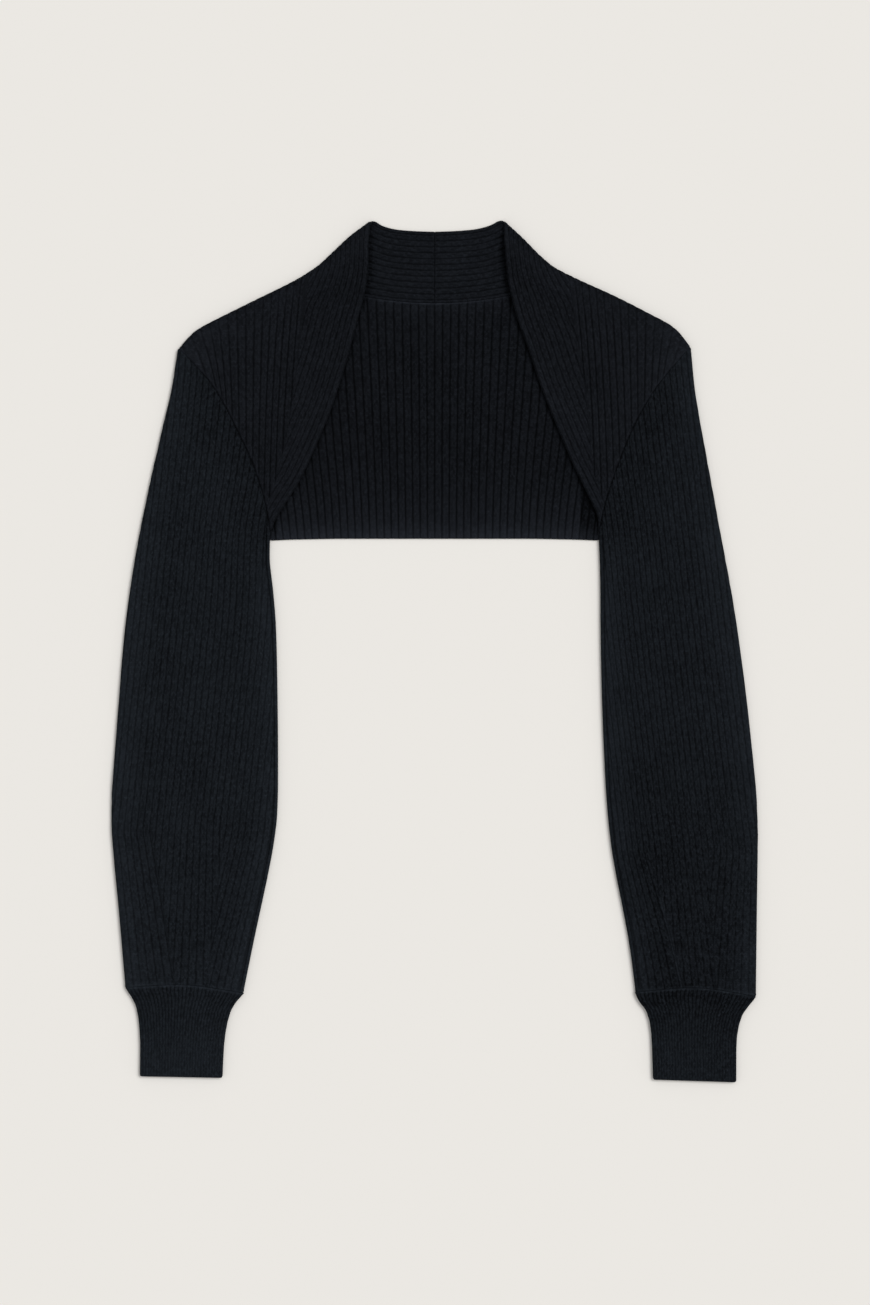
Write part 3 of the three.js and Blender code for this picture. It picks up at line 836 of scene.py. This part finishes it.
def shoulder_chains(cloth, half):
    """Ribs from behind the shoulder's fold down between the join and the armhole."""
    chains = []
    stops = []
    first = half.join(JOIN_TOP) + 2 * NEAR_LINE
    pitch, growth = half.shoulder_pitch
    grown = (WIDEST_RIB - pitch) / (2 * growth)
    tip = crossing(lambda place: half.armhole(half.fold(place)) - place, first, half.tip_out + PAST_TIP)
    tip_rib = (tip - first + growth * grown ** 2) / WIDEST_RIB
    first_bend = None
    for rib in sorted([*columns(0, SHOULDER_RIBS, WIDE_COLUMNS), *(tip_rib + TIP_COLUMNS)]):
        growing = min(rib, grown)
        fold_out = first + pitch * rib + growth * growing * (2 * rib - growing)
        fold_y = half.fold(fold_out)
        lean = half.lean(fold_out)

        def out(y):
            down = fold_y - y
            bowed = LEAN_SPAN * (1 - np.exp(-np.maximum(down, -LEAN_TOP) / LEAN_SPAN))
            return fold_out - lean * (bowed - np.maximum(-LEAN_TOP - down, 0))

        limits = {
            "join": lambda y: out(y) - half.join(y) - NEAR_LINE,
            "armhole": lambda y: half.armhole(y) - out(y) - SEAM_GAP / 2,
        }

        def before_seam(y):
            place = half.folded(out(y), y)[0][0]
            on_front = half.past(out(y), y)[0] < math.pi * BEND
            return 1 if on_front else place[Y] - half.top(place[X]) - SEAM_GAP

        high = crossing(before_seam, fold_y - KEEN, fold_y + BEHIND_FOLD)
        if min(limit(high) for limit in limits.values()) <= 0:
            continue
        bend, leave = half.bends(out, fold_y - BEFORE_FOLD, fold_y + AT_FOLD, fold_y + PAST_FOLD)
        (low, _), (stop, _) = span(limits, high, BELOW_HEM, high + 1)
        first_bend = first_bend or bend
        if low < bend - SHORTEST:
            turn = np.linspace(bend, leave, TURN_STEPS)[1:]
            y = np.concatenate([rows(low, bend), turn, rows(leave, high)[1:]])
        else:
            y = np.linspace(low, high, 2 * TURN_STEPS)
        places, outward, past = half.folded(out(y), y)
        places[:, Z] += lifted(half, places, past)
        # Painted light at the shoulder's tip, and painted shade by the fold and beside the join.
        at_tip = tone("tip outwards", out(y)) * tone("tip upwards", y)
        shade = at_tip - tone("shoulder fold", past) - tone("by join", out(y) - half.join(y))
        relief = SHOULDER_RELIEF + tone("shoulder ribs", past)
        keys = y + (first_bend - bend) * smooth(bend - KEY_RUN, bend, y)
        lips = (LIP, FLAT_LIP)
        chains.append(cloth.chain(places, outward, rib, y, keys, lips, shade, relief))
        stops.append(stop)
    cloth.join_all(chains)
    return chains, stops


def front_panel(half):
    """A front with its share of the collar."""
    cloth = Cloth(half.side)
    by_edge, edge_stops = edge_chains(cloth, half)
    by_shoulder, shoulder_stops = shoulder_chains(cloth, half)
    edge_side = stairs(by_edge[::-1], edge_stops[::-1], "join", last=False)
    round_neck = KEY_END - half.neck - BLUNT
    edge_side = [stitch for stitch in edge_side if stitch[0] <= round_neck]
    cloth.join(edge_side, stairs(by_shoulder, shoulder_stops, "join", last=False))
    half.armhole_crease(cloth)
    piece = shell("front_panel_" + half.word, cloth, "front")
    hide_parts("front_" + half.word)


class Tube:
    """A tube laid flat between two silhouettes. q is the cloth from its outer fold's middle, positive
    over the upper ply, and y runs along it."""

    def __init__(self, outer, inner):
        self.outer = outer
        self.inner = inner

    def girth(self, y):
        """Cloth from one fold's middle to the other's."""
        return self.outer(y) - self.inner(y) - 2 * FOLD_INSET + 2 * QUARTER

    def flat_out(self, q, y):
        return self.outer(y) - FOLD_INSET + QUARTER - np.abs(q)

    def q_at(self, out, y, ply):
        return ply * (self.outer(y) - FOLD_INSET + QUARTER - out)

    def angles(self, q, y):
        """How far round the outer fold and the inner fold a spot lies from their middles."""
        apart = (np.abs(q), np.maximum(self.girth(y) - np.abs(q), 0))
        return [np.minimum(cloth, QUARTER) / BEND for cloth in apart]

    def out(self, q, y):
        at_outer, at_inner = self.angles(q, y)
        bent = BEND * (np.cos(at_outer) - np.cos(at_inner))
        flat = np.clip(self.flat_out(q, y), self.inner(y) + FOLD_INSET, self.outer(y) - FOLD_INSET)
        return flat + bent

    def place(self, q, y):
        """Places and outward directions."""
        q = q + 0 * y
        sign = np.where(q < 0, -1.0, 1.0)
        at_outer, at_inner = self.angles(q, y)
        angle = np.minimum(at_outer, at_inner)
        places = np.column_stack([self.out(q, y), y, MID + sign * BEND * np.sin(angle)])
        out_part = np.where(at_outer < at_inner, np.cos(angle), -np.cos(angle))
        return places, np.column_stack([out_part, np.zeros(len(y)), sign * np.sin(angle)])


def sleeve_limits(half, tube, q):
    """What every rib of a sleeve ends at. The armhole counts above the elbow."""
    return {
        "armhole": lambda y: tube.out(q(y), y) - half.armhole(y) - SEAM_GAP / 2 + FREE * (y < ELBOW),
        "cuff": lambda y: y - half.cuff_seam(tube.out(q(y), y)) - SEAM_GAP,
    }


def by_armhole(half, tube, q, y):
    """How near the armhole a spot lies, from 0 to 1."""
    return tone("off armhole", tube.out(q, y) - half.armhole(y)) * tone("up armhole", y)


def sleeve_shade(half, tube, q, y):
    """Painted light by the two folds, so the middle looks darker, and painted shade by the armhole and lower
    down, on each side's own painted lightness.
    """
    by_outer = tone("outer fold", np.abs(q)) * (1 - FOLD_DIP * bell(y - FOLD_DIP_AT, FOLD_DIP_SPAN))
    by_inner = tone("inner fold", tube.girth(y) - np.abs(q)) * tone("down inner fold", y)
    dark = ARMHOLE_DARK * by_armhole(half, tube, q, y) + half.fade * tone("faded down", y)
    return half.light + FOLD_LIGHT * (by_outer + by_inner) - dark


def sleeve_chains(cloth, half, tube):
    """The sleeve's ribs, round from the inner fold by way of the lower ply, in groups. Below the turn
    each group heads its own way, and they meet on two lines."""
    turn = half.turn
    pitch = half.sleeve_pitch
    width = tube.girth(turn) - SEAM_STRIP
    most = math.ceil(MORE_THAN_ALL * width / pitch)
    in_order = (("inner", -1), ("centre", -1), ("outer", 0), ("centre", 1), ("inner", 1))
    groups = {name: ([], [], []) for name in in_order}
    axis = (half.outer_line(turn) + half.inner_line(turn)) / 2
    for rib in columns(-most, most, WIDE_COLUMNS):
        even = rib * pitch
        q_turn = even * (1 - half.inner_close * abs(even) / (2 * width))
        out_turn = tube.flat_out(q_turn, turn)
        from_outer = out_turn - half.outer_line(turn)
        from_inner = out_turn - half.inner_line(turn)
        if abs(q_turn) > width - 2 * NEAR_LINE or min(abs(from_outer), abs(from_inner)) < NEAR_LINE:
            continue
        ply = -1 if rib < 0 else 1
        zone = "outer" if from_outer > 0 else "centre" if from_inner > 0 else "inner"

        def opened(silhouette, fashioning, y):
            """How wide a group's room is, as a share of its room at the turn."""
            return (silhouette(y) - fashioning(y)) / (silhouette(turn) - fashioning(turn))

        def q(y):
            up = y - turn
            down = np.maximum(-up, 0)
            spread = 1 + getattr(half, "spread_" + zone) * down
            by_underarm = bell(y - half.underarm, GATHER_SPAN)
            drawn = half.gather * tone("drawn in", abs(q_turn)) * by_underarm
            above = half.outer(y) - half.outer(turn) + half.sleeve_lean * up + q_turn - ply * drawn
            if zone == "outer":
                below = q_turn * np.maximum(spread, opened(half.outer, half.outer_line, y))
            elif zone == "centre":
                out = axis + half.centre_lean * down + (out_turn - axis) * spread
                below = tube.q_at(out, y, ply)
            else:
                filling = np.maximum(spread, opened(half.inner, half.inner_line, y))
                out = half.inner(y) + (out_turn - half.inner(turn)) * filling
                below = tube.q_at(out, y, ply)
            return above + (below - above) * smooth(turn + TURN_SPAN, turn - TURN_SPAN, y)

        def past_line(fashioning, way):
            """The limit of a line, which counts below the turn, for ribs on one side of it."""
            return lambda y: way * (tube.flat_out(q(y), y) - fashioning(y)) - NEAR_LINE + FREE * (y > turn)

        limits = sleeve_limits(half, tube, q)
        limits["seam"] = lambda y: tube.girth(y) - SEAM_STRIP - np.abs(q(y)) - NEAR_LINE
        if zone != "inner":
            limits["outer line"] = past_line(half.outer_line, 1 if zone == "outer" else -1)
        if zone != "outer":
            limits["inner line"] = past_line(half.inner_line, 1 if zone == "centre" else -1)
        (low, high), (low_stop, high_stop) = span(limits, turn, BELOW_SLEEVE, ABOVE_SLEEVE)
        y = rows(low, high, SLEEVE_ROW)
        places, outward = tube.place(q(y), y)
        chains, lows, highs = groups[zone, 0 if zone == "outer" else ply]
        shade = sleeve_shade(half, tube, q(y), y)
        worn = half.worn * tone("worn down", y) * (zone != "inner")
        relief = 1 - worn + ARMHOLE_RELIEF * by_armhole(half, tube, q(y), y)
        lips = (LIP, FLAT_LIP)
        chains.append(cloth.chain(places, outward, rib, y, y, lips, shade, relief))
        lows.append(low_stop)
        highs.append(high_stop)
    for chains, _, _ in groups.values():
        cloth.join_all(chains)
    ordered = list(groups.items())
    for ((one_zone, _), one), ((other_zone, _), other) in zip(ordered, ordered[1:]):
        name = "outer line" if "outer" in (one_zone, other_zone) else "inner line"
        near_side = stairs(one[0][::-1], one[1][::-1], name, last=False)
        cloth.join(near_side, stairs(other[0], other[1], name, last=False))
    chains = [chain for group in groups.values() for chain in group[0]]
    highs = [stop for group in groups.values() for stop in group[2]]
    return chains, highs


def sleeve(half):
    """A sleeve, closed by a seam just inside its inner fold."""
    cloth = Cloth(half.side)

    def sprung(y):
        return half.outer(y) + SLEEVE_SPRING + half.tip_spring * tone("springy tip", y)

    tube = Tube(sprung, half.inner)
    chains, stops = sleeve_chains(cloth, half, tube)
    strip = []
    for share in [*columns(0, 1, WIDE_COLUMNS), 1]:
        over = (2 * share - 1) * SEAM_STRIP

        def q(y):
            return (tube.girth(y) - abs(over)) * (1 if over > 0 else -1)

        (low, high), _ = span(sleeve_limits(half, tube, q), ELBOW, BELOW_SLEEVE, ABOVE_SLEEVE)
        y = rows(low, high, SLEEVE_ROW)
        places, outward = tube.place(q(y), y)
        shade = sleeve_shade(half, tube, q(y), y)
        strip.append(cloth.chain(places, outward, share, y, y, (LIP, FLAT_LIP), shade))
    cloth.join_all(strip)
    cloth.join(strip[0], stairs(chains, stops, "seam", last=True))
    cloth.join(stairs(chains[::-1], stops[::-1], "seam", last=True), strip[-1])

    y = np.arange(SEAM_FOOT, half.underarm, LINE_STEP)
    seam_line = tube.place(tube.girth(y) - SEAM_STRIP, y)[0]
    cloth.crease(seam_line, *SLEEVE_SEAM_CREASE)
    half.armhole_crease(cloth)
    for height in half.puckers:
        over = np.linspace(SEAM_STRIP, PUCKER_END, PUCKER_SPOTS)
        y = height + PUCKER_LEAN * over
        cloth.crease(tube.place(tube.girth(y) - over, y)[0], *PUCKER_CREASE)
    piece = shell("sleeve_tube_" + half.word, cloth, "sleeve")
    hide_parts("sleeve_" + half.word)


def cuff(half):
    """A cuff of fine ribs, gathered below its seam."""
    cloth = Cloth(half.side)
    tube = Tube(half.cuff_outer, half.cuff_inner)
    chains = []
    for rib in columns(-CUFF_RIBS, CUFF_RIBS, FINE_COLUMNS):

        def q(y):
            return rib / CUFF_RIBS * tube.girth(y)

        limits = {
            "hem": lambda y: y - half.cuff_hem(tube.out(q(y), y)),
            "seam": lambda y: half.cuff_seam(tube.out(q(y), y)) - y,
        }
        (low, high), _ = span(limits, MID_CUFF, BELOW_CUFF, ABOVE_CUFF)
        y = rows(low, high, CUFF_ROW)
        places, outward = tube.place(q(y), y)
        # Painted light towards the cuff's end, and painted shade just below its seam, on each side's own
        # painted lightness.
        lower = tone("cuff end", y)
        below_seam = half.cuff_seam(places[:, X]) - y
        dark = CUFF_SEAM_DARK * bell(below_seam - CUFF_SEAM_AT, CUFF_SEAM_RUN)
        shade = half.cuff_light + CUFF_END_LIGHT * lower - dark
        relief = CUFF_RELIEF - CUFF_END_RELIEF * lower
        chains.append(cloth.chain(places, outward, rib, y, y, (0, CUFF_RIDGE), shade, relief))
    cloth.join_all([*chains, chains[0]])
    piece = shell("cuff_tube_" + half.word, cloth, "cuff")
    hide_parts("cuff_" + half.word)


def math_node(operation, reflected=False):
    """An operator for Value, which adds a Math node."""

    def add(one, *others):
        terms = (*others, one) if reflected else (one, *others)
        return one.finish.value("Math", {"operation": operation}, dict(enumerate(terms)))

    return add


class Value:
    """A socket that carries a number. Sums on it add their own Math nodes."""

    def __init__(self, finish, socket):
        self.finish = finish
        self.socket = socket

    __add__ = __radd__ = math_node("ADD")
    __sub__ = math_node("SUBTRACT")
    __rsub__ = math_node("SUBTRACT", reflected=True)
    __mul__ = __rmul__ = math_node("MULTIPLY")
    __truediv__ = math_node("DIVIDE")
    __rtruediv__ = math_node("DIVIDE", reflected=True)
    __pow__ = math_node("POWER")
    __rpow__ = math_node("POWER", reflected=True)
    __abs__ = math_node("ABSOLUTE")
    part = math_node("FRACT")
    whole = math_node("FLOOR")

    def between(self, low, high):
        """0 below low, 1 above high, and a smooth step between."""
        values = {"Value": self, "From Min": low, "From Max": high}
        return self.finish.value("MapRange", {"interpolation_type": "SMOOTHSTEP"}, values)


class Finish:
    """A material made of nodes."""

    def __init__(self, name):
        self.material = bpy.data.materials.new(name)
        self.material.use_nodes = True
        self.tree = self.material.node_tree
        self.tree.nodes.clear()

    def node(self, kind, settings, values):
        made = self.tree.nodes.new("ShaderNode" + kind)
        for name, setting in settings.items():
            setattr(made, name, setting)
        for name, value in values.items():
            if isinstance(value, Value):
                self.tree.links.new(value.socket, made.inputs[name])
            else:
                made.inputs[name].default_value = value
        return made

    def value(self, kind, settings, values, output=0):
        return Value(self, self.node(kind, settings, values).outputs[output])

    def mix(self, share, one, other):
        """One colour turning into another."""
        return self.value("Mix", {"data_type": "RGBA"}, {0: share, 6: one, 7: other}, 2)

    def noise(self, name):
        where = self.value("TexCoord", {}, {}, 3)
        size, detail = NOISES[name]
        values = {"Vector": where, "Scale": 1 / (size * MM), "Detail": detail}
        return self.value("TexNoise", {}, values)

    def attribute(self, name):
        return self.value("Attribute", {"attribute_name": name}, {}, 2)

    def dice(self, one, other):
        """A number from 0 to 1 for each pair of whole numbers."""
        pair = self.value("CombineXYZ", {}, {0: one, 1: other})
        return self.value("TexWhiteNoise", {"noise_dimensions": "2D"}, {"Vector": pair})

    def finish(self, values):
        shader = self.node("BsdfPrincipled", {}, values)
        output = self.node("OutputMaterial", {}, {})
        self.tree.links.new(shader.outputs[0], output.inputs[0])
        return self.material


def knitting(name, wales, course, painted_lightness, groove_shade, worn):
    """Near-black wool in ribs, with a V for every stitch, each of its own tone."""
    finish = Finish(name)
    knit = finish.value("UVMap", {"uv_map": "knit"}, {})
    rib, row = (finish.value("SeparateXYZ", {}, {0: knit}, output) for output in (0, 1))
    loose, fibre, fluff, patch = map(finish.noise, ("loose", "fibre", "fluff", "patch"))

    across = abs(rib.part() * 2 - 1)
    # How deep in a rib's groove a spot lies: it lowers the bump there, and its darkening of the colour is
    # painted shade.
    groove = across.between(*GROOVE) * finish.attribute("relief")
    wale = across / WALE_WIDTH
    leg = abs(wale * 2 - 1) if wales == 2 else wale
    course_number = row / course - leg * V_SLANT + loose * LOOSENESS
    stitch = course_number.part()
    own_tone = finish.dice((rib * (2 * wales)).whole(), course_number.whole())
    yarn = (1 - abs(stitch * 2 - 1)) ** YARN_ROUND
    stand = yarn * (1 - leg ** LEG_POWER * LEG_FALL)
    height = stand * (1 - groove) + fibre * FIBRE_HEIGHT + own_tone * OWN_HEIGHT

    parts = (own_tone, stand, fibre, patch, fluff.between(*FLUFF))
    light = sum(part * share for part, share in zip(parts, LIGHT_SHARES)) - DARKER
    # Painted light and shade: the shade attribute, and each piece's lightness, as one wool is lit more or less
    # on each piece. The mix runs up to worn, the palest colour, which paler yarn and painted light both reach.
    light = (light * (1 - groove * groove_shade) + finish.attribute("shade") * SHADE_LIGHT) * painted_lightness
    bump = {"Strength": 0.6, "Distance": 0.45 * MM, "Height": height}
    return finish.finish(
        {
            "Base Color": finish.mix(light, DEEP, worn),
            "Roughness": 0.95,
            "Specular IOR Level": 0.06,
            "Normal": finish.value("Bump", {}, bump),
        }
    )


# The knittings: name, wales to a rib, height of a course, lightness (painted light and shade, as one wool is
# lit more or less on each piece), painted shade in the grooves, and palest colour, reached by paler yarn and by
# painted light.
FINISHES = {
    "back": knitting("wide rib inside", 2, 2.1, 0.66, 0.85, PALE_AND_LIT_BODY),
    "front": knitting("wide rib front", 2, 2.1, 0.75, 0.55, PALE_AND_LIT_BODY),
    "sleeve": knitting("wide rib sleeve", 2, 2.1, 0.98, 0.33, PALE_AND_LIT),
    "cuff": knitting("fine rib", 1, 1.6, 1.08, 0.6, PALE_AND_LIT),
}


def floor_finish():
    finish = Finish("floor")
    colour = finish.mix(finish.noise("cloud"), *FLOOR_TONES)
    return finish.finish({"Base Color": colour, "Roughness": 1.0, "Specular IOR Level": 0.0})


def floor():
    mesh = bpy.data.meshes.new("floor")
    corners = [(x * FLOOR_HALF, y * FLOOR_HALF, -FLOOR_DROP) for x, y in ((-1, -1), (1, -1), (1, 1), (-1, 1))]
    mesh.from_pydata(corners, [], [(0, 1, 2, 3)])
    mesh.materials.append(floor_finish())
    added("floor", mesh)


def camera():
    data = bpy.data.cameras.new("camera")
    data.lens = 80
    data.sensor_width = 36
    eye = added("camera", data)
    eye.location = (EYE_OUT, -EYE_OUT, HEIGHT * MM + EYE_ABOVE)
    bpy.context.scene.camera = eye


def lights():
    """Light from all round, and a wide soft lamp from the upper right."""
    world = bpy.data.worlds.new("studio")
    world.use_nodes = True
    background = world.node_tree.nodes["Background"]
    background.inputs["Color"].default_value = (1.0, 1.0, 1.0, 1)
    background.inputs["Strength"].default_value = 0.6
    bpy.context.scene.world = world
    data = bpy.data.lights.new("key", "SUN")
    data.energy = 1.7
    data.angle = math.radians(28)
    added("key", data).rotation_euler = Vector(LAMP_FROM).to_track_quat("Z", "Y").to_euler()
    bpy.context.scene.view_settings.view_transform = "Standard"


camera()
floor()
back_panel()
for half in HALVES:
    front_panel(half)
    sleeve(half)
    cuff(half)
lights()
